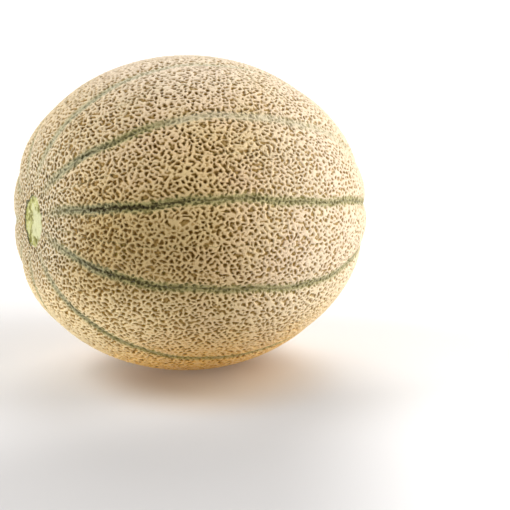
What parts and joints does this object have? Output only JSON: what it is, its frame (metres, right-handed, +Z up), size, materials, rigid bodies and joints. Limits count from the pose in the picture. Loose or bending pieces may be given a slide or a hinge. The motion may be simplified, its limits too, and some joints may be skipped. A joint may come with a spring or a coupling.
{
  "type": "cantaloupe melon",
  "caption": "Whole netted melon lying on its side: oval ribbed fruit with a raised corky net, shallow sutures, an oval stem scar and a small blossom button.",
  "frame": {"origin": "on the resting plane, under the middle of the fruit's box", "axes": "+Z up; the stem end towards -X and 4.8 degrees higher, the blossom end towards +X"},
  "size_m": [0.1702, 0.1516, 0.1494],
  "materials": {
    "rind": "matte corky net, warm tan with paler edges, over olive-brown pits; grey-green sutures; pale yellow-green stem scar"
  },
  "bodies": {
    "root": {"melon": "rind"}
  },
  "joints": []
}
